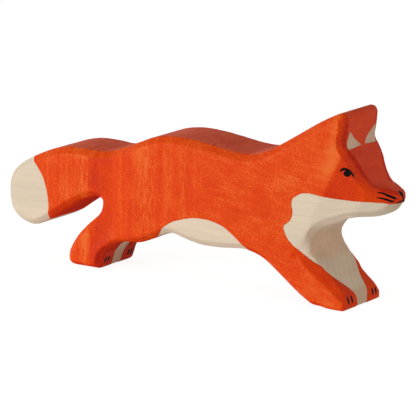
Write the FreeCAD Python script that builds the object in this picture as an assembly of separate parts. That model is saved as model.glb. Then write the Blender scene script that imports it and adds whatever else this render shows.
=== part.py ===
"""Running fox figurine: one sawn and sanded plank, an orange glaze and black brush marks.

The frame: +X runs to the snout, +Z is up and Y crosses the plank. The fox's right side,
which is the one usually looked at, faces -Y. The origin is on the ground, under the middle
of the fox. The paws stand flat on Z = 0. All lengths are in millimetres.
"""
import FreeCAD, Part
import math
import os

Vector = FreeCAD.Vector

# Driving sizes of the carved wood
LENGTH = 167.5
HEIGHT = 71.0
THICKNESS = 25.0
BEVEL = 2.3
EAR_RADIUS = 3.0
SNOUT_RADIUS = 3.0
HEEL_RADIUS = 5.0
HIND_HEEL_RADIUS = 2.8

# The cheeks are sanded back from a slanted ridge, and the snout more steeply.
# Each slope is the depth gained per length along the fox's side, square to the ridge.
RIDGE_LEAN = 28.5
CHEEK_SLOPE = 0.27
SNOUT_SLOPE = 0.57
SNOUT_SETBACK = 6.9
CHEEK_RUN_OUT_SLOPE = 0.25

# The shallow valley sanded across the root of the tail
VALLEY_WIDTH = 20.0
VALLEY_DEPTH = 1.5
VALLEY_RUN_OUT_SLOPE = 0.15

# Paint
GLAZE_FILM = 0.12
MARK_FILM = 0.12
DRY_SOLE = 0.5
PUPIL_RADIUS = 1.25
LID_WIDTH = 0.85
LID_TAIL_WIDTH = 0.45
WHISKER_WIDTH = 0.75
WHISKER_TIP_WIDTH = 0.4
NOSE_WIDTH = 1.5
LIP_WIDTH = 0.7
CLAW_WIDTH = 0.75
CLAW_TIP_WIDTH = 0.5
CLAW_LENGTH = 2.6
CLAW_PITCH = 2.1

# Bare wood left between the hind legs
HIND_STRIP_WIDTH = 7.6

# How far a cutting tool runs past what it cuts, and a bevel template past the sawn rim
OVERRUN = 6.0
RIM_SKIM = 1.0

# How near two places count as one, when edges are chosen and sheared shapes are healed
SAME_PLACE = 0.001

# The sawn outline, as shares of LENGTH from the tail tip and of HEIGHT from the ground.
# The sides between two points are straight. A corner is rounded as far as its sides allow,
# unless it has a radius of its own, and the toes stay sharp.
TAIL_TOP_SHARES = [
    (0.000, 0.318), (0.000, 0.400), (0.013, 0.470), (0.044, 0.527), (0.081, 0.569),
    (0.125, 0.614), (0.172, 0.639), (0.221, 0.637), (0.270, 0.630)]
BACK_SHARES = [
    (0.313, 0.665), (0.358, 0.707), (0.400, 0.751), (0.448, 0.769), (0.501, 0.766),
    (0.555, 0.749), (0.603, 0.732), (0.648, 0.725), (0.693, 0.751), (0.752, 0.830),
    (0.812, 0.918), (0.852, 0.971)]
EAR_TIP_SHARE = (0.898, 1.0195)
FACE_SHARES = [(0.894, 0.898), (0.888, 0.842), (0.913, 0.772), (0.927, 0.693), (0.946, 0.640), (0.966, 0.633)]
SNOUT_TIP_SHARE = (1.0096, 0.602)
CHIN_SHARES = [(0.980, 0.508), (0.949, 0.479), (0.901, 0.473), (0.866, 0.439), (0.824, 0.408)]
CHEST_SHARES = [(0.802, 0.338), (0.816, 0.248), (0.857, 0.158), (0.897, 0.082)]
TOE_SHARE = (0.900, 0.000)
HEEL_SHARE = (0.813, 0.000)
BELLY_SHARES = [
    (0.776, 0.055), (0.731, 0.135), (0.687, 0.210), (0.642, 0.238), (0.585, 0.221),
    (0.525, 0.217), (0.481, 0.238), (0.448, 0.262), (0.409, 0.224), (0.364, 0.175),
    (0.303, 0.169), (0.272, 0.099)]
HIND_TOE_SHARE = (0.260, 0.000)
HIND_HEEL_SHARE = (0.165, 0.000)
HIND_LEG_SHARES = [(0.167, 0.075), (0.190, 0.163), (0.224, 0.241)]
TAIL_UNDER_SHARES = [
    (0.259, 0.307), (0.260, 0.385), (0.234, 0.393), (0.194, 0.352), (0.155, 0.293),
    (0.113, 0.223), (0.068, 0.175), (0.025, 0.208), (0.005, 0.259)]

# How much of a half side a free corner takes for its arc
CORNER_SHARE = 0.92
FREE = 0
SHARP = -1

# Where the sanded faces lie, in the same shares
RIDGE_SHARE = (0.855, 0.634)
CHEEK_FOOT_SHARE = 0.210
HEAD_START_SHARE = 0.700
SNOUT_START_SHARE = 0.905
VALLEY_SHARE = 0.291
VALLEY_FOOT_SHARE = 0.110

# Borders of the bare wood, in the same shares
TAIL_TIP_BORDER_SHARES = [(0.062, 0.605), (0.113, 0.430), (0.110, 0.170)]
BELLY_PATCH_SHARES = [
    (0.405, 0.160), (0.434, 0.300), (0.480, 0.350), (0.537, 0.375), (0.597, 0.352),
    (0.634, 0.286), (0.672, 0.160)]
BIB_SHARES = [
    (1.030, 0.548), (0.940, 0.565), (0.870, 0.570), (0.790, 0.590), (0.765, 0.540),
    (0.775, 0.475), (0.738, 0.400), (0.762, 0.322), (0.800, 0.262), (0.845, 0.185),
    (1.030, 0.185)]

# Borders on the front faces, as shares of THICKNESS out from the middle and of HEIGHT
EAR_PATCH_SHARES = [(0.352, 0.910), (0.044, 0.821), (0.376, 0.820)]
PAW_STRIP_SHARES = [(0.132, -0.050), (0.132, 0.040), (0.200, 0.098), (0.470, 0.225), (0.480, 0.255)]
EAR_FACE_SHARE = 0.870
PAW_STRIP_START_SHARE = 0.816
HIND_STRIP_START_SHARE = 0.256
HIND_STRIP_END_SHARE = 0.430
HIND_STRIP_TOP_SHARE = 0.290

# Places of the black marks, in shares of LENGTH and HEIGHT
PUPIL_SHARE = (0.901, 0.704)
LID_SHARES = [(0.889, 0.718), (0.894, 0.731), (0.901, 0.732), (0.908, 0.722), (0.9145, 0.692)]
UPPER_WHISKER_SHARES = [(0.961, 0.616), (0.970, 0.611), (0.991, 0.584)]
LOWER_WHISKER_SHARES = [(0.962, 0.590), (0.975, 0.584), (0.987, 0.570)]
LIP_SHARES = [(1.010, 0.572), (0.996, 0.561), (0.987, 0.557)]
NOSE_SHARES = [0.622, 0.606, 0.570]
NOSE_START_SHARE = 0.970
CLAW_OUT_SHARE = 0.372
HIND_CLAW_OUT_SHARE = 0.352
CLAW_FOOT_SHARE = 0.033
PAW_FACE_SHARE = 0.850
HIND_PAW_FACE_SHARE = 0.250


def along(share):
    """X of a share of the length, counted from the tail tip."""
    return (share - 0.5) * LENGTH


def up(share):
    """Z of a share of the height."""
    return share * HEIGHT


def side_point(share, y=0.0):
    """Point of the side view, from its two shares."""
    return Vector(along(share[0]), y, up(share[1]))


def outline_corners():
    """Corners of the sawn outline in order, each with its own radius, FREE or SHARP."""
    ear_to_snout = [(EAR_TIP_SHARE, EAR_RADIUS)] + free_corners(FACE_SHARES)
    snout_to_toe = [(SNOUT_TIP_SHARE, SNOUT_RADIUS)] + free_corners(CHIN_SHARES + CHEST_SHARES)
    front_sole = [(TOE_SHARE, SHARP), (HEEL_SHARE, HEEL_RADIUS)]
    hind_sole = [(HIND_TOE_SHARE, SHARP), (HIND_HEEL_SHARE, HIND_HEEL_RADIUS)]
    corners = free_corners(TAIL_TOP_SHARES + BACK_SHARES) + ear_to_snout + snout_to_toe
    corners += front_sole + free_corners(BELLY_SHARES) + hind_sole
    corners += free_corners(HIND_LEG_SHARES + TAIL_UNDER_SHARES)
    return [(side_point(share), radius) for share, radius in corners]


def free_corners(shares):
    """Corners that are rounded as far as their sides allow."""
    return [(share, FREE) for share in shares]


def corner_arc(before, corner, after, radius, growth):
    """Start, middle and end of a rounded corner, moved outwards, or the one sharp point.

    The outline runs clockwise, seen from the right side, so outwards is to the left.
    """
    side_in = (corner - before).normalize()
    side_out = (after - corner).normalize()
    half_turn = side_in.getAngle(side_out) / 2
    left = Vector(0, 1, 0).cross(side_in + side_out).normalize() * -1
    if radius == SHARP:
        return [corner + left * (growth / math.cos(half_turn))]
    room = min((corner - before).Length, (after - corner).Length) / 2 * CORNER_SHARE
    reach = room if radius == FREE else min(room, radius * math.tan(half_turn))
    arc_radius = reach / math.tan(half_turn)
    start = corner - side_in * reach
    end = corner + side_out * reach
    inward = (side_out - side_in).normalize()
    centre = corner + inward * math.hypot(arc_radius, reach)
    middle = centre - inward * arc_radius
    swell = growth if inward.dot(left) < 0 else -growth
    return [point + (point - centre).normalize() * swell for point in (start, middle, end)]


def rounded_wire(corners, growth=0.0):
    """Closed wire of straight sides and tangent arcs, grown outwards by the given amount."""
    points = [corner for corner, radius in corners]
    befores = points[-1:] + points[:-1]
    afters = points[1:] + points[:1]
    arcs = []
    for before, (corner, radius), after in zip(befores, corners, afters):
        arcs.append(corner_arc(before, corner, after, radius, growth))
    edges = []
    for arc, next_arc in zip(arcs, arcs[1:] + arcs[:1]):
        if len(arc) > 1:
            edges.append(Part.Arc(*arc).toShape())
        edges.append(Part.LineSegment(arc[-1], next_arc[0]).toShape())
    return Part.Wire(edges)


def outline_prism(rim_growth, start_y, depth):
    """The sawn outline as a prism that starts at a given Y."""
    face = Part.Face(rounded_wire(outline_corners(), rim_growth))
    face.translate(Vector(0, start_y, 0))
    return face.extrude(Vector(0, depth, 0))


def edges_at(solid, y):
    """Edges that lie in the plane at a given Y."""
    found = []
    for edge in solid.Edges:
        box = edge.BoundBox
        if max(abs(box.YMin - y), abs(box.YMax - y)) < SAME_PLACE:
            found.append(edge)
    return found


def bevel_leg(growth):
    """Leg of the bevel once a film covers it: the slanted band moves out with the rest."""
    return BEVEL + growth * (2 - math.sqrt(2))


def bevelled_plank(growth):
    """The sawn plank, with both sides flat and bevelled all round."""
    half = THICKNESS / 2 + growth
    block = outline_prism(growth, -half, 2 * half)
    return block.makeChamfer(bevel_leg(growth), edges_at(block, -half) + edges_at(block, half))


def off_cut(growth, low_share, high_share):
    """What lies outside a flat right side and its bevel, between two shares of the length.

    The template behind it is wider than the sawn rim, so that its bevel cuts across the rim.
    """
    face_y = -THICKNESS / 2 - growth
    template = outline_prism(growth + RIM_SKIM, face_y, THICKNESS)
    template = template.makeChamfer(bevel_leg(growth) + RIM_SKIM, edges_at(template, face_y))
    deep_y = face_y + BEVEL + RIM_SKIM / 2
    corner = Vector(along(low_share), face_y - THICKNESS, -OVERRUN)
    size = (along(high_share) - along(low_share), deep_y - corner.y, HEIGHT + 2 * OVERRUN)
    return Part.makeBox(*size, corner).cut(template)


def tilted(shape, hinge, run, slope):
    """The shape sheared into the plank: a point sinks by slope for each unit it lies past the hinge."""
    shear = FreeCAD.Matrix()
    shear.A21 = slope * run.x
    shear.A23 = slope * run.z
    shear.A24 = -slope * hinge.dot(run)
    tilted_shape = shape.toNurbs().transformGeometry(shear)
    finest = SAME_PLACE / 1000
    tilted_shape.fix(finest, finest, SAME_PLACE / 10)
    return tilted_shape


def above_run_out(growth, foot_share, slope):
    """Space above a slope that leaves the right side at a height and sinks in as it climbs."""
    face_y = -THICKNESS / 2 - growth
    foot = up(foot_share)
    rise = HEIGHT + OVERRUN - foot
    far_out = face_y - 2 * THICKNESS
    profile = [
        Vector(-LENGTH, face_y - slope * OVERRUN, foot - OVERRUN),
        Vector(-LENGTH, face_y + slope * rise, foot + rise),
        Vector(-LENGTH, far_out, foot + rise),
        Vector(-LENGTH, far_out, foot - OVERRUN)]
    return Part.Face(Part.makePolygon(profile + profile[:1])).extrude(Vector(2 * LENGTH, 0, 0))


def head_cutters(growth):
    """What the sander takes off the right cheek and, ahead of the toes, the side of the snout."""
    lean = math.radians(RIDGE_LEAN)
    across = Vector(math.cos(lean), 0, -math.sin(lean))
    ridge = side_point(RIDGE_SHARE)
    past_snout = 1 + OVERRUN / LENGTH
    cheek = tilted(off_cut(growth, HEAD_START_SHARE, past_snout), ridge, across, CHEEK_SLOPE)
    room = above_run_out(growth, CHEEK_FOOT_SHARE, CHEEK_RUN_OUT_SLOPE)
    snout_hinge = ridge + across * SNOUT_SETBACK
    snout = tilted(off_cut(growth, SNOUT_START_SHARE, past_snout), snout_hinge, across, SNOUT_SLOPE)
    return [cheek.common(room), snout]


def valley_cutter(growth):
    """What the sander takes out of the right side across the root of the tail."""
    half = VALLEY_WIDTH / 2
    middle = Vector(along(VALLEY_SHARE), 0, 0)
    slope = VALLEY_DEPTH / half
    half_share = VALLEY_WIDTH / LENGTH
    waste = off_cut(growth, VALLEY_SHARE - half_share, VALLEY_SHARE + half_share)
    sinking = tilted(waste, middle - Vector(half, 0, 0), Vector(1, 0, 0), slope)
    rising = tilted(waste, middle + Vector(half, 0, 0), Vector(-1, 0, 0), slope)
    room = above_run_out(growth, VALLEY_FOOT_SHARE, VALLEY_RUN_OUT_SLOPE)
    return sinking.common(rising).common(room)


def mirrored(shape):
    """The same shape on the other side of the plank."""
    return shape.mirror(Vector(0, 0, 0), Vector(0, 1, 0))


def carved_block(growth=0.0):
    """The whole fox in wood, or with its skin grown outwards by a film of paint."""
    block = bevelled_plank(growth)
    for cutter in head_cutters(growth) + [valley_cutter(growth)]:
        block = block.cut(cutter).cut(mirrored(cutter))
    return block.Solids[0]


def side_prism(wire):
    """A wire of the side view as a prism through the whole plank and past it."""
    face = Part.Face(wire)
    face.translate(Vector(0, -THICKNESS, 0))
    return face.extrude(Vector(0, 2 * THICKNESS, 0))


def front_prism(points, start_share, end_share):
    """A polygon of (Y, Z) points as a prism along X, between two shares of the length."""
    corners = [Vector(along(start_share), y, z) for y, z in points]
    reach = along(end_share) - along(start_share)
    return Part.Face(Part.makePolygon(corners + corners[:1])).extrude(Vector(reach, 0, 0))


def tail_tip_window():
    """Everything behind the curved border of the bare tail tip."""
    border = [side_point(share) for share in TAIL_TIP_BORDER_SHARES]
    back_x = along(0) - OVERRUN
    back = [Vector(back_x, 0, border[2].z), Vector(back_x, 0, border[0].z)]
    edges = [Part.Arc(*border).toShape()]
    for start, end in ((border[2], back[0]), (back[0], back[1]), (back[1], border[0])):
        edges.append(Part.LineSegment(start, end).toShape())
    return side_prism(Part.Wire(edges))


def patch_window(shares):
    """A patch of the side view with soft corners, right through the plank."""
    return side_prism(rounded_wire([(side_point(share), FREE) for share in shares]))


def paw_strip_window():
    """The bare stripe down the chest, which narrows between the front paws."""
    half = [(share[0] * THICKNESS, up(share[1])) for share in PAW_STRIP_SHARES]
    other_half = [(-y, z) for y, z in reversed(half)]
    return front_prism(half + other_half, PAW_STRIP_START_SHARE, 1)


def hind_strip_window():
    """The bare stripe between the hind legs, up to the patch under the belly."""
    half = HIND_STRIP_WIDTH / 2
    top = up(HIND_STRIP_TOP_SHARE)
    corners = [(-half, -OVERRUN), (half, -OVERRUN), (half, top), (-half, top)]
    return front_prism(corners, HIND_STRIP_START_SHARE, HIND_STRIP_END_SHARE)


def ear_patch_windows():
    """The bare triangle inside each ear."""
    right = [(-share[0] * THICKNESS, up(share[1])) for share in EAR_PATCH_SHARES]
    window = front_prism(right, EAR_FACE_SHARE, 1)
    return [window, mirrored(window)]


def dry_ground():
    """The layer under the paws that the brush never reaches."""
    corner = Vector(-LENGTH, -THICKNESS, -OVERRUN)
    return Part.makeBox(2 * LENGTH, 2 * THICKNESS, OVERRUN + DRY_SOLE, corner)


def orange_glaze(wood, glazed):
    """The stain film over the wood, with a window over each part that stays bare."""
    windows = [tail_tip_window(), patch_window(BELLY_PATCH_SHARES), patch_window(BIB_SHARES)]
    windows += [paw_strip_window(), hind_strip_window(), dry_ground()] + ear_patch_windows()
    film = glazed.cut(wood)
    for window in windows:
        film = film.cut(window)
    return film


def stroke(points, widths, push):
    """A brush stroke through points, as a prism along push, with a pointed tip at both ends."""
    one_side = []
    other_side = []
    for before, point, after, width in zip(points[:1] + points, points, points[1:] + points[-1:], widths):
        side = (after - before).cross(push).normalize() * (width / 2)
        one_side.append(point + side)
        other_side.append(point - side)
    first_tip = points[0] + (points[0] - points[1]).normalize() * (widths[0] / 2)
    last_tip = points[-1] + (points[-1] - points[-2]).normalize() * (widths[-1] / 2)
    corners = [first_tip] + one_side + [last_tip] + other_side[::-1] + [first_tip]
    return Part.Face(Part.makePolygon(corners)).extrude(push)


def side_stroke(shares, widths):
    """A stroke on the right side of the head, drawn in the side view."""
    points = [side_point(share) for share in shares]
    return stroke(points, widths, Vector(0, -THICKNESS, 0))


def right_eye_tool():
    """A round pupil under an arched lid."""
    lid_widths = [LID_TAIL_WIDTH, LID_WIDTH, LID_WIDTH, LID_WIDTH, LID_TAIL_WIDTH]
    lid = side_stroke(LID_SHARES, lid_widths)
    pupil = Part.makeCylinder(PUPIL_RADIUS, THICKNESS, side_point(PUPIL_SHARE), Vector(0, -1, 0))
    return lid.fuse(pupil)


def right_whisker_tool():
    """Two strokes that start thin and end thick beside the nose."""
    widths = [WHISKER_TIP_WIDTH, WHISKER_WIDTH, WHISKER_WIDTH]
    return side_stroke(UPPER_WHISKER_SHARES, widths).fuse(side_stroke(LOWER_WHISKER_SHARES, widths))


def nose_tool():
    """The nose, the line below it, and the lips that run back along both sides."""
    start_x = along(NOSE_START_SHARE)
    points = [Vector(start_x, 0, up(share)) for share in NOSE_SHARES]
    push = Vector(along(1) + OVERRUN - start_x, 0, 0)
    nose = stroke(points, [NOSE_WIDTH, NOSE_WIDTH, LIP_WIDTH], push)
    lip = side_stroke(LIP_SHARES, [LIP_WIDTH, LIP_WIDTH, LIP_WIDTH])
    return nose.fuse([lip, mirrored(lip)])


def claw_tool(face_share, out_share):
    """Two short strokes down the front of a right paw."""
    start_x = along(face_share)
    foot = up(CLAW_FOOT_SHARE)
    push = Vector(LENGTH / 2 - along(PAW_FACE_SHARE), 0, 0)
    claws = []
    for index in range(2):
        y = -out_share * THICKNESS + index * CLAW_PITCH
        points = [Vector(start_x, y, foot + CLAW_LENGTH), Vector(start_x, y, foot)]
        claws.append(stroke(points, [CLAW_TIP_WIDTH, CLAW_WIDTH], push))
    return claws[0].fuse(claws[1])


def black_marks(glazed):
    """Each painted mark as a film of its own on top of the glaze."""
    film = carved_block(GLAZE_FILM + MARK_FILM).cut(glazed)
    pairs = [
        ("eye", right_eye_tool()),
        ("whiskers", right_whisker_tool()),
        ("front_claws", claw_tool(PAW_FACE_SHARE, CLAW_OUT_SHARE)),
        ("rear_claws", claw_tool(HIND_PAW_FACE_SHARE, HIND_CLAW_OUT_SHARE))]
    marks = {"nose_and_mouth": film.common(nose_tool())}
    for name, tool in pairs:
        marks["right_" + name] = film.common(tool)
        marks["left_" + name] = film.common(mirrored(tool))
    return marks


def main():
    os.makedirs("parts", exist_ok=True)
    wood = carved_block()
    glazed = carved_block(GLAZE_FILM)
    nodes = {"wood_body": wood, "orange_glaze": orange_glaze(wood, glazed)}
    nodes.update(black_marks(glazed))
    for name, shape in nodes.items():
        shape.exportStep("parts/" + name + ".step")
        print(name, len(shape.Solids), "solids", round(shape.Volume, 1), "mm3")


main()
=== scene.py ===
"""Running fox figurine: a sanded maple body, a brushed orange glaze and black brush marks.

The frame: +X runs to the snout, +Z is up, and the fox's right side faces -Y. The paws stand
on Z = 0. Lengths are in metres, and MM turns millimetres into metres. A share is a part of the
wood's length, of half its thickness or of its height. Angles are in degrees.
"""
import math

import bmesh
import bpy
import numpy as np
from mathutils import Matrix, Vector, noise


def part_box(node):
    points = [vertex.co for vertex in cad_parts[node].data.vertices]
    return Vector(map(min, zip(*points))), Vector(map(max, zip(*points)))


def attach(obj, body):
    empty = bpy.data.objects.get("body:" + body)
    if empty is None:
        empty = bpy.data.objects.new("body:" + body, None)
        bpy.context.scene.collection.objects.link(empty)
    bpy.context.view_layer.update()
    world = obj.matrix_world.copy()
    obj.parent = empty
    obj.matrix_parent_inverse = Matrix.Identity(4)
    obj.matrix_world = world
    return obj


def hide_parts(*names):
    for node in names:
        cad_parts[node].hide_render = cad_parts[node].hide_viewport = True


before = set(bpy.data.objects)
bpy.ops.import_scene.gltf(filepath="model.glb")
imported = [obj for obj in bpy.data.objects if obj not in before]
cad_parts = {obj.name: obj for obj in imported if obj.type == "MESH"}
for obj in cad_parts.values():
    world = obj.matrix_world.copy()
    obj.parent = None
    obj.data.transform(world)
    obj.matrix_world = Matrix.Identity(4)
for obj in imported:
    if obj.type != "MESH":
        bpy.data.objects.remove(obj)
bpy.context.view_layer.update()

MM = 0.001

# The carved body: an even surface, sanded lightly all over and more at the soles
SURFACE_DEPTH = 8
MERGE_GAP = 0.005 * MM
SANDING_PASSES = 1
SANDING_SHARE = 0.5
SOLE_EASE_PASSES = 9
SOLE_EASE_HEIGHT = 3.0 * MM

# The faint waves that hand sanding leaves, which die out at the soles
HAND_WAVE = 0.10 * MM
HAND_WAVE_SPAN = 9.0 * MM
SOLE_GUARD = 1.2 * MM

# The front toes are square, from the toe's top down to the edge of the sole
TOE_START_SHARE = 0.872
TOE_BLEND = 2.0 * MM
TOE_TOP = 9.0 * MM
TOE_FADE = 5.0 * MM
TOE_GROWTH = 0.22
SQUARE_TOE_GAP = 0.05 * MM
FRONT_SOLE_START_SHARE = 0.835
FRONT_SOLE_BLEND = 4.0 * MM
SOLE_EDGE_TOP = 3.4 * MM
SOLE_EDGE_FADE = 1.0 * MM

# The hind toes stand back a little
HIND_TOE_START_SHARE = 0.235
HIND_TOE_END_SHARE = 0.300
HIND_TOE_BLEND_SHARE = 1 / 3
HIND_TOE_SETBACK = 1.1 * MM
HIND_TOE_TOP = 12.0 * MM
HIND_TOE_FADE = 6.0 * MM

# The edges of the chest are eased under the throat; the middle of the chest stays flat
CHEST_EASE_SHARE = (0.803, 0.300)
CHEST_EASE_RADIUS = 5.0 * MM
CHEST_EASE_PASSES = 10
CHEST_EASE_START_SHARE = 0.56
CHEST_EASE_FULL_SHARE = 0.72

# How far the throat and the chest stand in front of the sawn outline, in millimetres by height
THROAT_START_SHARE = 0.770
THROAT_BLEND = 4.0 * MM
THROAT_HEIGHT_SHARES = [0.120, 0.172, 0.215, 0.250, 0.280, 0.320, 0.360, 0.420, 0.455]
RIGHT_THROAT_GROWTHS = [0.0, 0.0, -0.9, -1.2, -0.2, 1.0, 1.25, 1.25, 0.0]
LEFT_THROAT_GROWTHS = [0.3, 1.3, 1.6, 1.7, 1.3, 1.0, 1.25, 1.25, 0.0]

# A shallow facet runs down the front of each foreleg, through three corners
FACET_TOP_SHARE = (0.7776, 0.242)
FACET_FOOT_SHARE = (0.8994, 0.030)
FACET_FRONT_SHARE = (0.8463, 0.180)
FACET_FRONT_WIDTH_SHARE = 0.77
RIGHT_FACET_REACH_SHARE = 0.285
LEFT_FACET_REACH_SHARE = 0.180
FACET_FADE = 2.5 * MM

# The film of glaze and its brushed border
GLAZE_HEIGHT = 0.09 * MM
GLAZE_ROOT = 0.03 * MM
BORDER_WOBBLE = 0.14 * MM
BORDER_WOBBLE_SPAN = 4.0 * MM
BORDER_BLEND = 1.5 * MM
DRY_SOLE = 0.18 * MM

# Borders of the bare wood in the side view: shares of the length and of the height
TAIL_TIP_SHARES = [
    (-0.060, 0.700), (0.030, 0.690), (0.058, 0.602), (0.072, 0.552), (0.090, 0.510),
    (0.106, 0.450), (0.115, 0.380), (0.119, 0.310), (0.115, 0.245), (0.111, 0.190),
    (0.106, 0.100), (-0.060, 0.060)]
BELLY_SHARES = [
    (0.392, 0.120), (0.424, 0.262), (0.451, 0.316), (0.476, 0.341), (0.514, 0.362),
    (0.552, 0.365), (0.587, 0.348), (0.612, 0.317), (0.632, 0.283), (0.651, 0.236),
    (0.680, 0.130), (0.540, 0.020)]
BIB_SHARES = [
    (1.060, 0.553), (0.989, 0.555), (0.962, 0.563), (0.903, 0.565), (0.861, 0.571),
    (0.839, 0.576), (0.814, 0.582), (0.801, 0.580), (0.789, 0.573), (0.779, 0.559),
    (0.770, 0.541), (0.768, 0.522), (0.768, 0.504), (0.770, 0.479), (0.767, 0.441),
    (0.759, 0.417), (0.751, 0.403), (0.747, 0.387), (0.752, 0.358), (0.762, 0.322),
    (0.777, 0.290), (0.784, 0.276), (0.791, 0.261), (0.798, 0.248), (0.805, 0.235),
    (0.819, 0.218), (0.835, 0.196), (0.846, 0.158), (0.870, 0.060), (0.890, -0.060),
    (1.060, -0.060)]

# Borders of the bare wood on the front faces: shares of half the thickness and of the height
RIGHT_EAR_SHARES = [
    (-0.616, 0.908), (-0.300, 0.864), (0.000, 0.823), (-0.376, 0.819), (-0.752, 0.817),
    (-0.728, 0.838), (-0.672, 0.865)]
LEFT_EAR_SHARES = [
    (0.776, 0.915), (0.640, 0.895), (0.480, 0.872), (0.320, 0.845), (0.160, 0.822),
    (0.450, 0.819), (0.744, 0.817), (0.800, 0.846), (0.800, 0.873)]
RIGHT_CHEST_SHARES = [
    (-1.600, 0.900), (-1.500, 0.450), (-1.000, 0.285), (-0.930, 0.260), (-0.860, 0.234),
    (-0.820, 0.215), (-0.790, 0.193), (-0.707, 0.163), (-0.567, 0.130), (-0.437, 0.098),
    (-0.350, 0.080), (-0.280, 0.060), (-0.255, 0.030), (-0.255, -0.060)]
LEFT_CHEST_SHARES = [
    (0.258, -0.060), (0.262, 0.017), (0.310, 0.058), (0.370, 0.100), (0.500, 0.136),
    (0.655, 0.168), (0.740, 0.190), (0.800, 0.211), (0.900, 0.240), (1.000, 0.265),
    (1.500, 0.400), (1.600, 0.900)]
EAR_FACE_SHARE = 0.870

# The bare strip up the front of the hind legs; each side of it grows or shrinks with the height
HIND_STRIP_START_SHARE = 0.250
HIND_STRIP_END_SHARE = 0.440
HIND_STRIP_TOP_SHARE = 0.300
HIND_STRIP_LEAN = 0.2
HIND_STRIP_MIDDLE = -0.95 * MM
HIND_STRIP_HALF_WIDTH = 2.65 * MM
RIGHT_HIND_STRIP_GROWTH = -0.04
LEFT_HIND_STRIP_GROWTH = 0.23

# Behind the ridge of the cheek the flank is lighter: worn thin, and partly a painted highlight.
# In front of it the paint lies thick.
RIDGE_SHARE = (0.855, 0.634)
RIDGE_LEAN = 28.5
RUBBED_HIGHLIGHT_WIDTH = 9.0 * MM
RUBBED_HIGHLIGHT_START = 2.0 * MM
RUBBED_HIGHLIGHT_FOOT_SHARE = 0.62
CHEEK_BLEND = 1.0 * MM
CHEEK_FADE = 26.0 * MM
CHEEK_FOOT_SHARE = 0.45

# Painted shade: darker glaze on faces that turn to the front or down and in the face's crease.
# A turn is a part of the normal: 0 across a direction, 1 along it.
FRONT_FACE_SHADE = 0.6
FACE_TURN = 0.20
FACE_START_SHARE = 0.880
# The flat front of the face, which gets a paler colour as a painted sheen
FRONT_TURN = 0.50
FRONT_SPAN = 0.22
# Faces that turn down: painted shade here, and a matt finish in the material
DOWNWARD_FACE_SHADE = 0.5
SHELTER_TURN = 0.50
SHELTER_SPAN = 0.32
# The crease that frames the face, with painted shade along it
CREASE_SHARES = [
    (0.800, 0.970), (0.815, 0.900), (0.805, 0.830), (0.784, 0.800), (0.711, 0.762),
    (0.571, 0.693), (0.472, 0.648), (0.410, 0.630), (0.195, 0.612)]
CREASE_WIDTH = 0.55 * MM
CREASE_EDGE = 0.70 * MM
CREASE_SHADE = 1.0

# The sharpest few edges count as fully worn
EDGE_PASSES = 1
EDGE_PERCENTILE = 97

# The brush marks
MARK_HEIGHT = 0.10 * MM
MARK_STATIONS = 32
MARK_RIBS = 20
MARK_FLATNESS = 0.05
MARK_END = 0.02

# Marks on the sides: shares of the length and of the height, with the stroke's half width at
# each point in millimetres. The higher the end power, the blunter the ends of the stroke.
SIDE_MARKS = {
    "eye": [
        {"points": [(0.8868, 0.7115), (0.8888, 0.7210), (0.8938, 0.7275), (0.9000, 0.7265),
                    (0.9062, 0.7185), (0.9108, 0.7045), (0.9157, 0.6855)],
         "half_widths": [0.34, 0.48, 0.52, 0.52, 0.46, 0.36, 0.18], "end_power": 6},
        {"points": [(0.8932, 0.7060), (0.9085, 0.7040)],
         "half_widths": [1.18, 1.18], "end_power": 2}],
    "whiskers": [
        {"points": [(0.9570, 0.6155), (0.9680, 0.6105), (0.9790, 0.5985), (0.9920, 0.5835)],
         "half_widths": [0.24, 0.34, 0.44, 0.42], "end_power": 6},
        {"points": [(0.9575, 0.5890), (0.9680, 0.5865), (0.9780, 0.5790), (0.9880, 0.5695)],
         "half_widths": [0.22, 0.32, 0.42, 0.38], "end_power": 6}],
}

# Claws: shares of half the thickness and of the height
CLAW_SHARES = {
    "right_front_claws": [
        [(-0.752, 0.070), (-0.712, 0.050), (-0.684, 0.030)],
        [(-0.560, 0.070), (-0.520, 0.050), (-0.492, 0.030)]],
    "left_front_claws": [
        [(0.568, 0.066), (0.582, 0.048), (0.592, 0.030)],
        [(0.744, 0.066), (0.754, 0.048), (0.760, 0.030)]],
    "right_rear_claws": [
        [(-0.650, 0.064), (-0.675, 0.046), (-0.690, 0.030)],
        [(-0.490, 0.064), (-0.515, 0.046), (-0.530, 0.030)]],
    "left_rear_claws": [
        [(0.520, 0.064), (0.505, 0.046), (0.490, 0.030)],
        [(0.660, 0.064), (0.645, 0.046), (0.630, 0.030)]],
}
CLAW_HALF_WIDTHS = [0.42, 0.56, 0.40]
CLAW_END_POWER = 6
REAR_CLAW_START_SHARE = 0.300

# The nose and the mouth: shares of the length, of half the thickness and of the height
NOSE_STROKES = [
    {"points": [(0.9885, -0.05, 0.619), (0.9950, -0.07, 0.608), (0.9990, -0.08, 0.592)],
     "half_widths": [0.60, 0.90, 0.65], "end_power": 4},
    {"points": [(0.9975, -0.05, 0.602), (0.9998, -0.05, 0.584), (0.9990, -0.03, 0.569)],
     "half_widths": [0.50, 0.42, 0.38], "end_power": 6},
    {"points": [(0.9995, -0.02, 0.571), (0.9971, -0.08, 0.568), (0.9932, -0.13, 0.563),
                (0.9892, -0.18, 0.558)],
     "half_widths": [0.38, 0.40, 0.36, 0.24], "end_power": 6},
    {"points": [(0.9995, -0.04, 0.571), (0.9971, 0.02, 0.568), (0.9932, 0.07, 0.563),
                (0.9892, 0.12, 0.558)],
     "half_widths": [0.38, 0.40, 0.36, 0.24], "end_power": 6}]

# The photograph's view: azimuth 0 is on the -Y side
CAMERA_AZIMUTH = 34.4
CAMERA_ELEVATION = 13.0
CAMERA_DISTANCE = 1.065
CAMERA_TARGET = (0.45 * MM, 0.0, 26.9 * MM)
CAMERA_LENS = 250.96
CAMERA_SENSOR = 36.0
CAMERA_NEAR = 0.05
CAMERA_FAR = 20.0

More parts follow.
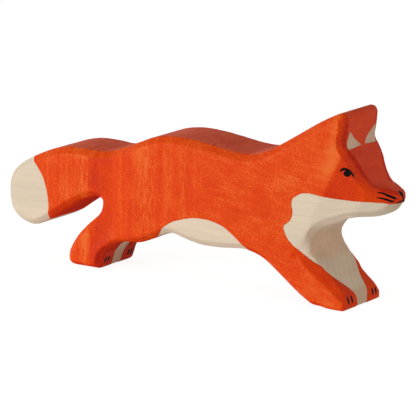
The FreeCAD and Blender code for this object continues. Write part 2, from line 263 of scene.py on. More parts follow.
# Soft lamps; a level is how bright the lamp alone shows a white card that faces it
LAMPS = {
    "side_softbox": {"azimuth": -36, "elevation": 7, "level": 0.69, "size": 0.45},
    "front_softbox": {"azimuth": 78, "elevation": 3, "level": 0.33, "size": 0.60},
}
LAMP_DISTANCE = 1.3
SKY_LEVEL = 0.34

# The floor glows and shows a share of the lamps' light on top, so that the fox shades it. Its
# bounce is how white it is for the light that it throws back.
FLOOR_GLOW = 0.90
FLOOR_SHADE = 0.30
FLOOR_BOUNCE = 0.98
FLOOR_HALF_WIDTH = 3.0

# A border's curve has this many steps from point to point, and many places are set against it
# in chunks. The depth outside says that a place is far from any border.
CURVE_STEPS = 8
CHUNK_SIZE = 4000
TINY = 1e-18
FAR_OUTSIDE = -1.0

# Each wave is taken this much further along in the same noise
WAVE_SHIFT = Vector((7.3, 3.1, 5.7))

wood_low, wood_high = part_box("wood_body")
wood_size = wood_high - wood_low
half_thickness = wood_size.y / 2


# Helpers for places and fields


def length_place(share):
    """X of a share of the wood's length."""
    return wood_low.x + share * wood_size.x


def height_place(share):
    """Z of a share of the wood's height."""
    return wood_low.z + share * wood_size.z


def side_place(share):
    """X and Z of two shares of the wood's length and height."""
    return length_place(share[0]), height_place(share[1])


def front_place(share):
    """Y and Z of two shares of half the thickness and of the height."""
    return share[0] * half_thickness, height_place(share[1])


def ramp(values, start, width):
    """Values carried from 0 at the start to 1 past the width; a width below zero runs back."""
    return np.clip((values - start) / width, 0, 1)


def wave(places, span, seed):
    """Soft noise between -1 and 1 at each place."""
    shift = WAVE_SHIFT * seed
    return np.array([noise.noise(Vector(place) / span + shift) for place in places])


def smooth_loop(points):
    """A closed curve through points, as a fine polygon."""
    points = np.array(points, float)
    before = np.roll(points, 1, axis=0)
    after = np.roll(points, -1, axis=0)
    later = np.roll(points, -2, axis=0)
    rows = []
    for step in range(CURVE_STEPS):
        t = step / CURVE_STEPS
        rows.append(0.5 * (2 * points + (after - before) * t
                           + (2 * before - 5 * points + 4 * after - later) * t ** 2
                           + (3 * points - before - 3 * after + later) * t ** 3))
    return np.stack(rows, axis=1).reshape(-1, 2)


def depth_inside(places, loop):
    """How far inside a closed polygon each flat place lies; outside it is negative."""
    start = loop[None]
    side = (np.roll(loop, -1, axis=0) - loop)[None]
    rise = np.where(side[..., 1] == 0, 1, side[..., 1])
    depths = []
    for chunk in np.array_split(places, max(1, len(places) // CHUNK_SIZE)):
        away = chunk[:, None] - start
        share = (away * side).sum(2) / np.maximum((side ** 2).sum(2), TINY)
        gap = away - np.clip(share, 0, 1)[..., None] * side
        nearest = np.sqrt((gap ** 2).sum(2).min(1))
        crosses = (away[..., 1] < 0) != (away[..., 1] < side[..., 1])
        reach = away[..., 0] - away[..., 1] * side[..., 0] / rise
        inside = ((crosses & (reach < 0)).sum(1) % 2).astype(bool)
        depths.append(np.where(inside, nearest, -nearest))
    return np.concatenate(depths)


def gated(depths, open_places):
    """Depths that count only at the open places."""
    return np.where(open_places, depths, FAR_OUTSIDE)


def soft_minimum(first, second):
    """The smaller of two fields, with the corner between them rounded."""
    near = np.clip(0.5 + (first - second) / (2 * BORDER_BLEND), 0, 1)
    return first + (second - first) * near - BORDER_BLEND * near * (1 - near)


# Helpers for meshes


def link_mesh(name, points, faces):
    """A new object from points and faces, smooth shaded, at the origin."""
    mesh = bpy.data.meshes.new(name)
    mesh.from_pydata(points, [], faces)
    mesh.validate()
    piece = bpy.data.objects.new(name, mesh)
    bpy.context.scene.collection.objects.link(piece)
    mesh.shade_smooth()
    return piece


def store(mesh, name, values):
    """Keeps one number per vertex, for a material or for nodes to read."""
    numbers = mesh.attributes.new(name, "FLOAT", "POINT")
    numbers.data.foreach_set("value", np.asarray(values, np.float32))


def mesh_arrays(mesh):
    """Vertex places, vertex normals and triangles of a mesh as arrays."""
    mesh.calc_loop_triangles()
    places = np.zeros(len(mesh.vertices) * 3)
    mesh.vertices.foreach_get("co", places)
    normals = np.zeros(len(mesh.vertices) * 3)
    mesh.vertices.foreach_get("normal", normals)
    triangles = np.zeros(len(mesh.loop_triangles) * 3, int)
    mesh.loop_triangles.foreach_get("vertices", triangles)
    return places.reshape(-1, 3), normals.reshape(-1, 3), triangles.reshape(-1, 3)


def neighbour_mean(values, triangles):
    """Mean value of the vertices joined to each vertex of a closed surface."""
    first = triangles[:, [0, 1, 2]].ravel()
    second = triangles[:, [1, 2, 0]].ravel()
    count = np.bincount(first, minlength=len(values))
    sums = [np.bincount(first, column[second], len(values)) for column in values.T]
    return np.stack(sums, axis=1) / count[:, None]


# Helpers for nodes


def add_node(tree, kind, inputs=None, **settings):
    """A node with its settings, and its inputs set to values or linked to sockets."""
    made = tree.nodes.new(kind)
    for name, value in settings.items():
        setattr(made, name, value)
    for name, value in (inputs or {}).items():
        if isinstance(value, bpy.types.NodeSocket):
            tree.links.new(value, made.inputs[name])
        else:
            made.inputs[name].default_value = value
    return made


def output(tree, kind, inputs=None, **settings):
    """The first output of a new node."""
    return add_node(tree, kind, inputs, **settings).outputs[0]


def calc(tree, operation, first, second=0.0):
    """Output of a Math node."""
    return output(tree, "ShaderNodeMath", {0: first, 1: second}, operation=operation)


def with_part_of(tree, base, value, amount):
    """A base with an amount of another value added to it."""
    return calc(tree, "ADD", base, calc(tree, "MULTIPLY", value, amount))


def swing(tree, value, amount):
    """A value between 0 and 1 made to swing about zero, times an amount."""
    return calc(tree, "MULTIPLY", calc(tree, "SUBTRACT", value, 0.5), amount)


def remap(tree, value, low, high, to_low=0.0, to_high=1.0, smooth=True):
    """A value carried from one range to another, held at the ends."""
    kind = "SMOOTHSTEP" if smooth else "LINEAR"
    inputs = {"Value": value, "From Min": low, "From Max": high, "To Min": to_low, "To Max": to_high}
    return output(tree, "ShaderNodeMapRange", inputs, interpolation_type=kind)


def mix_values(tree, share, first, second):
    """Output of a mix of two numbers."""
    return output(tree, "ShaderNodeMix", {0: share, 2: first, 3: second})


def mix_colours(tree, share, first, second):
    """Output of a mix of two colours, which are sockets or tuples of four."""
    mix = add_node(tree, "ShaderNodeMix", {0: share, 6: first, 7: second}, data_type="RGBA")
    return mix.outputs[2]


def colour_ramp(tree, share, stops):
    """Colours between stops; a stop is a place from 0 to 1 and a colour."""
    made = add_node(tree, "ShaderNodeValToRGB", {0: share})
    elements = made.color_ramp.elements
    elements[0].position, elements[0].color = stops[0]
    elements[1].position, elements[1].color = stops[-1]
    for place, colour in stops[1:-1]:
        elements.new(place).color = colour
    return made.outputs[0]


def axes_of(tree, vector):
    """The X, Y and Z of a vector."""
    return add_node(tree, "ShaderNodeSeparateXYZ", {0: vector}).outputs


def soft_noise(tree, vector, scale=1.0, detail=2.0, roughness=0.5):
    """Output of a noise texture, about 0 to 1."""
    inputs = {"Vector": vector, "Scale": scale, "Detail": detail, "Roughness": roughness}
    return add_node(tree, "ShaderNodeTexNoise", inputs).outputs["Fac"]


def stretched(tree, vector, scale, shift=(0, 0, 0)):
    """Coordinates scaled by a different factor along each axis."""
    return output(tree, "ShaderNodeMapping", {"Vector": vector, "Location": shift, "Scale": scale})


def surface_normal(tree):
    """The surface's normal, for a material."""
    return add_node(tree, "ShaderNodeNewGeometry").outputs["Normal"]


def attribute(tree, name):
    """A number kept on the mesh under a name, for a material."""
    return add_node(tree, "ShaderNodeAttribute", attribute_name=name).outputs["Fac"]


def named_value(tree, name):
    """A number kept on the geometry under a name, for geometry nodes."""
    return output(tree, "GeometryNodeInputNamedAttribute", {"Name": name}, data_type="FLOAT")


def new_group(name, inputs, outputs):
    """An empty shader node group with named float or vector inputs and float outputs."""
    group = bpy.data.node_groups.new(name, "ShaderNodeTree")
    for label, value in inputs.items():
        kind = "NodeSocketVector" if value is None else "NodeSocketFloat"
        socket = group.interface.new_socket(label, in_out="INPUT", socket_type=kind)
        if value is not None:
            socket.default_value = value
    for label in outputs:
        group.interface.new_socket(label, in_out="OUTPUT", socket_type="NodeSocketFloat")
    given = group.nodes.new("NodeGroupInput")
    result = group.nodes.new("NodeGroupOutput")
    return group, given.outputs, result.inputs


def use_group(tree, group, inputs):
    """Outputs of a group placed in a material with its own values."""
    return add_node(tree, "ShaderNodeGroup", inputs, node_tree=group).outputs


def new_material(name):
    """An empty material: its tree, its Principled BSDF and the object's place in millimetres."""
    material = bpy.data.materials.new(name)
    material.use_nodes = True
    tree = material.node_tree
    shader = tree.nodes["Principled BSDF"]
    place = add_node(tree, "ShaderNodeTexCoord").outputs["Object"]
    return material, tree, shader, stretched(tree, place, (1 / MM, 1 / MM, 1 / MM))


def bump(tree, shader, height, strength, distance):
    """Feeds a height into the shader's normal."""
    inputs = {"Height": height, "Strength": strength, "Distance": distance}
    tree.links.new(output(tree, "ShaderNodeBump", inputs), shader.inputs["Normal"])


# The carved body


def sawn_surface():
    """The sawn plank as an even mesh: its places, normals and triangles."""
    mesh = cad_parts["wood_body"].data.copy()
    shape = bmesh.new()
    shape.from_mesh(mesh)
    bmesh.ops.remove_doubles(shape, verts=shape.verts, dist=MERGE_GAP)
    shape.to_mesh(mesh)
    shape.free()
    raw = bpy.data.objects.new("carved_wood_raw", mesh)
    bpy.context.scene.collection.objects.link(raw)
    remesh = raw.modifiers.new("even_surface", "REMESH")
    remesh.mode = "SHARP"
    remesh.octree_depth = SURFACE_DEPTH
    remesh.use_remove_disconnected = False
    graph = bpy.context.evaluated_depsgraph_get()
    even = bpy.data.meshes.new_from_object(raw.evaluated_get(graph))
    bpy.data.objects.remove(raw)
    arrays = mesh_arrays(even)
    bpy.data.meshes.remove(even)
    return arrays


def square_toes(places):
    """The front paws keep nearly their full width, out to the toes and down to the sole."""
    x, y, z = places.T
    at_toe = ramp(x, length_place(TOE_START_SHARE), TOE_BLEND) * ramp(z, TOE_TOP, -TOE_FADE)
    at_sole = ramp(x, length_place(FRONT_SOLE_START_SHARE), FRONT_SOLE_BLEND)
    at_sole = at_sole * ramp(z, SOLE_EDGE_TOP, -SOLE_EDGE_FADE)
    growth = TOE_GROWTH * np.maximum(at_toe, at_sole)
    widest = np.maximum(np.abs(y), half_thickness - SQUARE_TOE_GAP)
    wider = np.minimum(np.abs(y) * (1 + growth), widest)
    return np.column_stack([x, np.copysign(wider, y), z])


def set_back_hind_toes(places):
    """The hind toes stand back a little."""
    x, y, z = places.T
    start, end = length_place(HIND_TOE_START_SHARE), length_place(HIND_TOE_END_SHARE)
    ahead = ramp(x, start, (end - start) * HIND_TOE_BLEND_SHARE) * (x < end)
    low = ramp(z, HIND_TOE_TOP, -HIND_TOE_FADE)
    return np.column_stack([x - HIND_TOE_SETBACK * ahead * low, y, z])


def full_throat(places):
    """Moves the throat and the chest along the length, by their height and from side to side."""
    x, y, z = places.T
    ahead = ramp(x, length_place(THROAT_START_SHARE), THROAT_BLEND)
    ahead = ahead ** 2 * (3 - 2 * ahead)
    share = (z - wood_low.z) / wood_size.z
    right = np.interp(share, THROAT_HEIGHT_SHARES, RIGHT_THROAT_GROWTHS)
    left = np.interp(share, THROAT_HEIGHT_SHARES, LEFT_THROAT_GROWTHS)
    to_left = ramp(y, -half_thickness, 2 * half_thickness)
    growth = (right + (left - right) * to_left) * MM
    return np.column_stack([x + ahead * growth, y, z])


def cut_leg_facets(places):
    """Shaves a facet off the front edge of each foreleg, out to the toe."""
    corners = []
    for share, width_share in (
            (FACET_TOP_SHARE, 1), (FACET_FOOT_SHARE, 1), (FACET_FRONT_SHARE, FACET_FRONT_WIDTH_SHARE)):
        x, z = side_place(share)
        corners.append(Vector((x, half_thickness * width_share, z)))
    top, foot, front = corners
    outwards = np.array((foot - top).cross(front - top).normalized())
    outwards *= np.sign(outwards[0])
    mirrored = places.copy()
    mirrored[:, 1] = np.abs(places[:, 1])
    right, left = height_place(RIGHT_FACET_REACH_SHARE), height_place(LEFT_FACET_REACH_SHARE)
    reach = np.where(places[:, 1] < 0, right, left)
    share = ramp(places[:, 2], reach, -FACET_FADE) * (places[:, 0] > top.x - FACET_FADE)
    proud = np.maximum((mirrored - np.array(top)) @ outwards, 0) * share
    mirrored -= proud[:, None] * outwards
    mirrored[:, 1] = np.copysign(mirrored[:, 1], places[:, 1])
    return mirrored


def sand(places, triangles, passes, shares):
    """Moves each place towards its neighbours, by a share of its own or by the same share."""
    for _ in range(passes):
        places = places + shares * (neighbour_mean(places, triangles) - places)
    return places


def chest_shares(places):
    """How much of the extra sanding reaches each place: the outer edges under the throat."""
    x, z = side_place(CHEST_EASE_SHARE)
    near = ramp(np.hypot(places[:, 0] - x, places[:, 2] - z), CHEST_EASE_RADIUS, -CHEST_EASE_RADIUS / 2)
    edge_width = CHEST_EASE_FULL_SHARE - CHEST_EASE_START_SHARE
    outer = ramp(np.abs(places[:, 1]) / half_thickness, CHEST_EASE_START_SHARE, edge_width)
    return (SANDING_SHARE * near * outer)[:, None]


def sanded_body():
    """The sawn plank with its edges eased and the faint waves of hand sanding."""
    places, normals, triangles = sawn_surface()
    places = set_back_hind_toes(square_toes(places))
    places = cut_leg_facets(full_throat(places))
    places = sand(places, triangles, SANDING_PASSES, SANDING_SHARE)
    places = sand(places, triangles, CHEST_EASE_PASSES, chest_shares(places))
    for _ in range(SOLE_EASE_PASSES):
        near_sole = ramp(places[:, 2:], SOLE_EASE_HEIGHT, -SOLE_EASE_HEIGHT)
        places = sand(places, triangles, 1, SANDING_SHARE * near_sole)
    off_sole = ramp(places[:, 2], SOLE_GUARD, SOLE_GUARD)
    sunk = HAND_WAVE * (0.5 + 0.5 * wave(places, HAND_WAVE_SPAN, 1)) * off_sole
    places = places - normals * sunk[:, None]
    places[:, 2] = np.maximum(places[:, 2], wood_low.z)
    return link_mesh("carved_wood", places.tolist(), triangles.tolist())


# The glaze


def hind_strip_depth(places):
    """How far inside the bare strip on the hind legs each place lies."""
    x, y, z = places.T
    start, top = side_place((HIND_STRIP_START_SHARE, HIND_STRIP_TOP_SHARE))
    ahead = x > start + HIND_STRIP_LEAN * z
    between_legs = ahead & (x < length_place(HIND_STRIP_END_SHARE)) & (z < top)
    growth = np.where(y < HIND_STRIP_MIDDLE, RIGHT_HIND_STRIP_GROWTH, LEFT_HIND_STRIP_GROWTH)
    half_width = HIND_STRIP_HALF_WIDTH + growth * z
    return gated(half_width - np.abs(y - HIND_STRIP_MIDDLE), between_legs)


def bare_depth(places):
    """How far inside the wood that stays bare each place lies."""
    side_view = places[:, [0, 2]]
    front_view = places[:, [1, 2]]
    tail_tip, belly, bib = (
        depth_inside(side_view, smooth_loop([side_place(share) for share in shares]))
        for shares in (TAIL_TIP_SHARES, BELLY_SHARES, BIB_SHARES))
    chest = np.array([front_place(share) for share in LEFT_CHEST_SHARES + RIGHT_CHEST_SHARES])
    bib = soft_minimum(bib, depth_inside(front_view, chest))
    bare = np.max([tail_tip, belly, bib, hind_strip_depth(places)], axis=0)
    bare = bare + BORDER_WOBBLE * wave(places, BORDER_WOBBLE_SPAN, 2)
    on_face = places[:, 0] > length_place(EAR_FACE_SHARE)
    right_ear, left_ear = (
        gated(depth_inside(front_view, np.array([front_place(share) for share in shares])), on_face)
        for shares in (RIGHT_EAR_SHARES, LEFT_EAR_SHARES))
    return np.max([bare, DRY_SOLE - places[:, 2], right_ear, left_ear], axis=0)


def cut_at_zero(places, values, triangles, field):
    """The part of a surface where the field is above zero, cut along the zero line."""
    places, values, field = list(places), list(values), list(field)
    crossing = {}

    def border_vertex(a, b):
        key = (min(a, b), max(a, b))
        if key not in crossing:
            share = field[a] / (field[a] - field[b])
            places.append(places[a] + (places[b] - places[a]) * share)
            values.append(values[a] + (values[b] - values[a]) * share)
            field.append(0.0)
            crossing[key] = len(places) - 1
        return crossing[key]

    kept = []
    for triangle in triangles:
        above = [field[corner] > 0 for corner in triangle]
        if all(above):
            kept.append(tuple(triangle))
        if all(above) or not any(above):
            continue
        ring = []
        for corner, after in zip(triangle, np.roll(triangle, -1)):
            if field[corner] > 0:
                ring.append(corner)
            if (field[corner] > 0) != (field[after] > 0):
                ring.append(border_vertex(corner, after))
        for second, third in zip(ring[1:], ring[2:]):
            kept.append((ring[0], second, third))
    used = sorted({corner for triangle in kept for corner in triangle})
    fresh = {old: new for new, old in enumerate(used)}
    kept = [[fresh[corner] for corner in triangle] for triangle in kept]
    return np.array(places)[used], np.array(values)[used], kept


def edge_share(places, normals, triangles):
    """How sharply the surface turns outwards at each vertex: 1 on a sharp edge, 0 on a flat."""
    turn = ((places - neighbour_mean(places, triangles)) * normals).sum(1)[:, None]
    for _ in range(EDGE_PASSES):
        turn = neighbour_mean(turn, triangles)
    return np.clip(turn[:, 0] / np.percentile(turn, EDGE_PERCENTILE), 0, 1)


def past_ridge(places):
    """How far each place lies in front of the leaning ridge of the cheek."""
    lean = math.radians(RIDGE_LEAN)
    x, z = side_place(RIDGE_SHARE)
    return (places[:, 0] - x) * math.cos(lean) - (places[:, 2] - z) * math.sin(lean)


def crease_share(places, normals):
    """1 along the crease that frames the face on both sides, 0 away from it."""
    line = [front_place(share) for share in CREASE_SHARES]
    line = np.array(line + line[-2:0:-1])
    off_crease = np.abs(depth_inside(np.abs(places[:, 1:]), line)) - CREASE_WIDTH
    on_face = (normals[:, 0] > FACE_TURN) & (places[:, 0] > length_place(FACE_START_SHARE))
    return ramp(off_crease, CREASE_EDGE, -CREASE_EDGE) * on_face


def paint_shares(places, normals):
    """Where the glaze lies thick or thin, and where shade, a highlight and a sheen are painted.

    Thick paint and shade: the cheek has thicker paint, and painted shade lies in the crease and
    on faces that turn to the front or down. Rubbed: behind the ridge of the cheek the glaze is
    worn thin and lighter, partly a painted highlight. Sheltered: faces that turn down, which the
    material makes matt. Front: the flat front of the face, where a paler colour is a painted
    sheen.
    """
    past = past_ridge(places)
    facing = ramp(normals[:, 0], FACE_TURN, FACE_TURN)
    # Faces that turn down, which get painted shade and a matt finish
    sheltered = ramp(-normals[:, 2], SHELTER_TURN, SHELTER_SPAN)
    crease = crease_share(places, normals)
    on_head = places[:, 2] > height_place(CHEEK_FOOT_SHARE)
    cheek = ramp(past, 0, CHEEK_BLEND) * ramp(past, CHEEK_FADE, -CHEEK_FADE) * on_head
    # Thicker paint on the cheek, and painted shade on faces that turn to the front or down
    thick_paint_and_shade = np.max([cheek, FRONT_FACE_SHADE * facing, DOWNWARD_FACE_SHADE * sheltered], axis=0)
    # Painted shade along the crease of the face
    thick_paint_and_shade = thick_paint_and_shade + CREASE_SHADE * crease
    # Behind the cheek's ridge the glaze is drawn lighter: worn thin, and partly a painted highlight
    high = ramp(places[:, 2], height_place(RUBBED_HIGHLIGHT_FOOT_SHARE), RUBBED_HIGHLIGHT_WIDTH)
    behind = ramp(past, -RUBBED_HIGHLIGHT_WIDTH, RUBBED_HIGHLIGHT_WIDTH) * ramp(past, 0, -RUBBED_HIGHLIGHT_START)
    rubbed_and_highlight = behind * high * (1 - facing)
    on_face = on_head & (places[:, 0] > length_place(FACE_START_SHARE))
    level_across = ramp(np.abs(normals[:, 1]), FRONT_TURN, -FRONT_SPAN)
    # The flat front of the face gets a paler colour: a painted sheen
    front = facing * level_across * on_face * (1 - crease)
    return {"thick_paint_and_shade": thick_paint_and_shade, "rubbed_and_highlight": rubbed_and_highlight, "sheltered": sheltered, "front": front}


def glaze_film(body):
    """A thin closed film over the painted part of the body."""
    places, normals, triangles = mesh_arrays(body.data)
    shares = {"edge": edge_share(places, normals, triangles), **paint_shares(places, normals)}
    values = np.column_stack([normals, *shares.values()])
    places, values, triangles = cut_at_zero(places, values, triangles, -bare_depth(places))
    normals = values[:, :3] / np.linalg.norm(values[:, :3], axis=1)[:, None]
    outer = places + normals * GLAZE_HEIGHT
    outer[:, 2] = np.maximum(outer[:, 2], wood_low.z)
    inner = places - normals * GLAZE_ROOT
    sides = [side for triangle in triangles for side in zip(triangle, triangle[1:] + triangle[:1])]
    known = set(sides)
    count = len(places)
    faces = triangles + [[corner + count for corner in reversed(triangle)] for triangle in triangles]
    faces += [[b, a, a + count, b + count] for a, b in sides if (b, a) not in known]
    film = link_mesh("brushed_glaze", np.vstack([outer, inner]).tolist(), faces)
    for name, column in zip(shares, values[:, 3:].T):
        store(film.data, name, np.tile(column, 2))
    return film


# The brush marks


def place_on_side(body, share, side):
    """Where a line across the plank meets the body on one side; side is -1 for the right."""
    x, z = side_place(share)
    hit, place, _, _ = body.ray_cast(Vector((x, side * wood_size.y, z)), Vector((0, -side, 0)))
    assert hit, share
    return place


def place_on_paw(body, share, start_x):
    """Where a line that runs backwards from a given X meets a paw."""
    y, z = front_place(share)
    hit, place, _, _ = body.ray_cast(Vector((start_x, y, z)), Vector((-1, 0, 0)))
    assert hit, share
    return place


def place_on_nose(body, share):
    """The nearest place on the body to a point given by three shares."""
    x, z = side_place((share[0], share[2]))
    return body.closest_point_on_mesh(Vector((x, share[1] * half_thickness, z)))[1]


def all_marks(body):
    """The strokes of each mark, by the CAD node that the mark replaces."""
    marks = {}
    for side_name, side in (("right", -1), ("left", 1)):
        for kind, strokes in SIDE_MARKS.items():
            marks[side_name + "_" + kind] = [
                {**stroke, "places": [place_on_side(body, share, side) for share in stroke["points"]]}
                for stroke in strokes]
    ahead = wood_high.x + wood_size.y
    behind_belly = length_place(REAR_CLAW_START_SHARE)
    for name, lines in CLAW_SHARES.items():
        start_x = behind_belly if "rear" in name else ahead
        marks[name] = [
            {"places": [place_on_paw(body, share, start_x) for share in line],
             "half_widths": CLAW_HALF_WIDTHS, "end_power": CLAW_END_POWER}
            for line in lines]
    marks["nose_and_mouth"] = [
        {**stroke, "places": [place_on_nose(body, share) for share in stroke["points"]]}
        for stroke in NOSE_STROKES]
    return marks


def brush_stroke_nodes():
    """Paints strokes along the host's edges: a low dome of paint that hugs the surface."""
    tree = bpy.data.node_groups.new("brush_stroke", "GeometryNodeTree")
    sockets = {
        "Geometry": "Geometry", "Surface": "Object", "Coat": "Float", "Height": "Float",
        "Root": "Float", "Stations": "Int", "Ribs": "Int", "Paint": "Material"}
    for label, kind in sockets.items():
        tree.interface.new_socket(label, in_out="INPUT", socket_type="NodeSocket" + kind)
    tree.interface.new_socket("Geometry", in_out="OUTPUT", socket_type="NodeSocketGeometry")
    given = tree.nodes.new("NodeGroupInput").outputs
    surface = add_node(tree, "GeometryNodeObjectInfo", {"Object": given["Surface"]}).outputs["Geometry"]
    sampled = {"Mesh": surface, "Value": output(tree, "GeometryNodeInputNormal"),
               "Sample Position": output(tree, "GeometryNodeInputPosition")}
    outwards = add_node(
        tree, "GeometryNodeSampleNearestSurface", sampled, data_type="FLOAT_VECTOR").outputs["Value"]
    curve, radius = stroke_path(tree, given, outwards)
    swept = {"Curve": curve, "Profile Curve": stroke_profile(tree, given), "Scale": radius,
             "Fill Caps": True}
    paint = output(tree, "GeometryNodeCurveToMesh", swept)
    paint = laid_on(tree, paint, surface, outwards)
    paint = output(tree, "GeometryNodeSetShadeSmooth", {0: paint})
    paint = output(tree, "GeometryNodeRealizeInstances", {"Geometry": paint})
    paint = output(tree, "GeometryNodeSetMaterial", {"Geometry": paint, "Material": given["Paint"]})
    tree.links.new(paint, tree.nodes.new("NodeGroupOutput").inputs[0])
    return tree


def stroke_path(tree, given, outwards):
    """The stroke's middle line and its half width, which tapers at both ends."""
    curve = output(tree, "GeometryNodeMeshToCurve", {"Mesh": given["Geometry"]})
    curve = output(tree, "GeometryNodeCurveSplineType", {"Curve": curve}, spline_type="CATMULL_ROM")
    curve = output(tree, "GeometryNodeResampleCurve", {"Curve": curve, "Count": given["Stations"]})
    along = add_node(tree, "GeometryNodeSplineParameter").outputs["Factor"]
    half_width = named_value(tree, "half_width")
    from_middle = calc(tree, "SUBTRACT", calc(tree, "MULTIPLY", along, 2.0), 1.0)
    end_share = calc(
        tree, "POWER", calc(tree, "ABSOLUTE", from_middle), named_value(tree, "end_power"))
    taper = calc(tree, "MAXIMUM", calc(tree, "SUBTRACT", 1.0, end_share), MARK_END)
    radius = calc(tree, "MULTIPLY", half_width, calc(tree, "SQRT", taper))
    turned = {"Curve": curve, "Normal": outwards}
    return output(tree, "GeometryNodeSetCurveNormal", turned, mode="FREE"), radius


def stroke_profile(tree, given):
    """The stroke's section: a flat ring that keeps the height of its dome under a name."""
    circle = {"Resolution": given["Ribs"], "Radius": 1.0}
    ring = output(tree, "GeometryNodeCurvePrimitiveCircle", circle, mode="RADIUS")
    place = axes_of(tree, output(tree, "GeometryNodeInputPosition"))
    dome = calc(tree, "MULTIPLY", given["Height"], calc(tree, "MULTIPLY", place["X"], place["X"]))
    is_low = calc(tree, "LESS_THAN", place["X"], -MARK_END)
    top = calc(tree, "ADD", given["Coat"], dome)
    lift = mix_values(tree, is_low, top, calc(tree, "MULTIPLY", given["Root"], -1.0))
    ring = output(
        tree, "GeometryNodeStoreNamedAttribute", {"Geometry": ring, "Name": "lift", "Value": lift},
        data_type="FLOAT", domain="POINT")
    low = calc(tree, "MULTIPLY", place["X"], MARK_FLATNESS)
    flat = output(tree, "ShaderNodeCombineXYZ", {"X": low, "Y": place["Y"]})
    return output(tree, "GeometryNodeSetPosition", {"Geometry": ring, "Position": flat})


def laid_on(tree, paint, surface, outwards):
    """Paint moved onto the surface and lifted by the height that its section kept."""
    touch = add_node(
        tree, "GeometryNodeProximity", {0: surface}, target_element="FACES").outputs["Position"]
    lifted = {0: outwards, "Scale": named_value(tree, "lift")}
    raised = output(tree, "ShaderNodeVectorMath", lifted, operation="SCALE")
    place = output(tree, "ShaderNodeVectorMath", {0: touch, 1: raised}, operation="ADD")
    return output(tree, "GeometryNodeSetPosition", {"Geometry": paint, "Position": place})


def painted_mark(name, body, strokes, nodes, paint):
    """One painted mark: its strokes laid on the body by the brush stroke nodes."""
    points, edges, half_widths, powers = [], [], [], []
    for stroke in strokes:
        first = len(points)
        points += stroke["places"]
        edges += [(first + k, first + k + 1) for k in range(len(stroke["places"]) - 1)]
        half_widths += [width * MM for width in stroke["half_widths"]]
        powers += [stroke["end_power"]] * len(stroke["places"])
    mesh = bpy.data.meshes.new(name)
    mesh.from_pydata(points, edges, [])
    store(mesh, "half_width", half_widths)
    store(mesh, "end_power", powers)
    piece = bpy.data.objects.new(name, mesh)
    bpy.context.scene.collection.objects.link(piece)
    modifier = piece.modifiers.new("brush_stroke", "NODES")
    modifier.node_group = nodes
    settings = {
        "Surface": body, "Coat": GLAZE_HEIGHT, "Height": MARK_HEIGHT, "Root": GLAZE_ROOT,
        "Stations": MARK_STATIONS, "Ribs": MARK_RIBS, "Paint": paint}
    for item in nodes.interface.items_tree:
        if item.name in settings:
            modifier[item.identifier] = settings[item.name]
    graph = bpy.context.evaluated_depsgraph_get()
    piece.data = bpy.data.meshes.new_from_object(piece.evaluated_get(graph))
    piece.modifiers.remove(modifier)
    return piece


# The camera and the lamps


def direction(azimuth, elevation):
    """Unit vector towards a place seen at these angles."""
    a, e = math.radians(azimuth), math.radians(elevation)
    return Vector((math.sin(a) * math.cos(e), -math.cos(a) * math.cos(e), math.sin(e)))


def aim_at_target(piece, towards, distance):
    """Stands a camera or a lamp off in a direction, looking back at the fox."""
    piece.location = Vector(CAMERA_TARGET) + towards * distance
    piece.rotation_mode = "QUATERNION"
    piece.rotation_quaternion = (-towards).to_track_quat("-Z", "Y")


def place_camera():
    """The photograph's viewing angle, through a long lens."""
    camera = bpy.data.objects.new("camera", bpy.data.cameras.new("camera"))
    bpy.context.scene.collection.objects.link(camera)
    aim_at_target(camera, direction(CAMERA_AZIMUTH, CAMERA_ELEVATION), CAMERA_DISTANCE)
    camera.data.sensor_width = CAMERA_SENSOR
    camera.data.lens = CAMERA_LENS
    camera.data.clip_start = CAMERA_NEAR
    camera.data.clip_end = CAMERA_FAR
    bpy.context.scene.camera = camera


def place_lamps():
    """The soft lamps, all at the same distance."""
    for name, lamp in LAMPS.items():
        data = bpy.data.lights.new(name, "AREA")
        data.size = lamp["size"]
        data.energy = lamp["level"] * (math.pi * LAMP_DISTANCE) ** 2
        light = bpy.data.objects.new(name, data)
        bpy.context.scene.collection.objects.link(light)
        aim_at_target(light, direction(lamp["azimuth"], lamp["elevation"]), LAMP_DISTANCE)


# The wood. A pattern's scale along an axis is one over its size there, in millimetres.
RING_PITCH = 2.6
RING_SLOPE = -0.8
RING_DRIFT = 10.0
RING_WOBBLE = 2.4
LATE_WOOD_START = 0.55
DRIFT_SCALE = (0.012, 0.03, 0.03)
WOBBLE_SCALE = (0.06, 0.25, 0.25)
UNEVEN_SCALE = (0.03, 0.3, 0.3)
UNEVEN_SHIFT = (4, 2, 9)
PORE_SCALE = (0.45, 4.2, 4.2)
PORE_RANGE = (0.52, 0.74)
TONE_SCALE = (0.02, 0.12, 0.12)
TONE_SHIFT = (8, 1, 3)

WOOD_PALE = (0.760, 0.640, 0.480, 1)
WOOD_RING = (0.640, 0.490, 0.330, 1)
WOOD_PORE = (0.560, 0.420, 0.280, 1)
WOOD_END = (0.640, 0.435, 0.285, 1)
WOOD_END_RING = (0.500, 0.320, 0.200, 1)
END_GRAIN_TURN = (0.40, 0.95)
PORE_STRENGTH = 0.30
WOOD_SPECULAR = 0.15
WOOD_BUMP = {"strength": 0.35, "distance": 0.05 * MM}

# A remap carries a first range to a second one: low, high, to low, to high
RING_BY_END_GRAIN = (0.0, 1.0, 0.42, 0.60)
VALUE_BY_TONE = (0.3, 0.7, 0.94, 1.05)
ROUGH_BY_PORES = (0.0, 1.0, 0.58, 0.72)


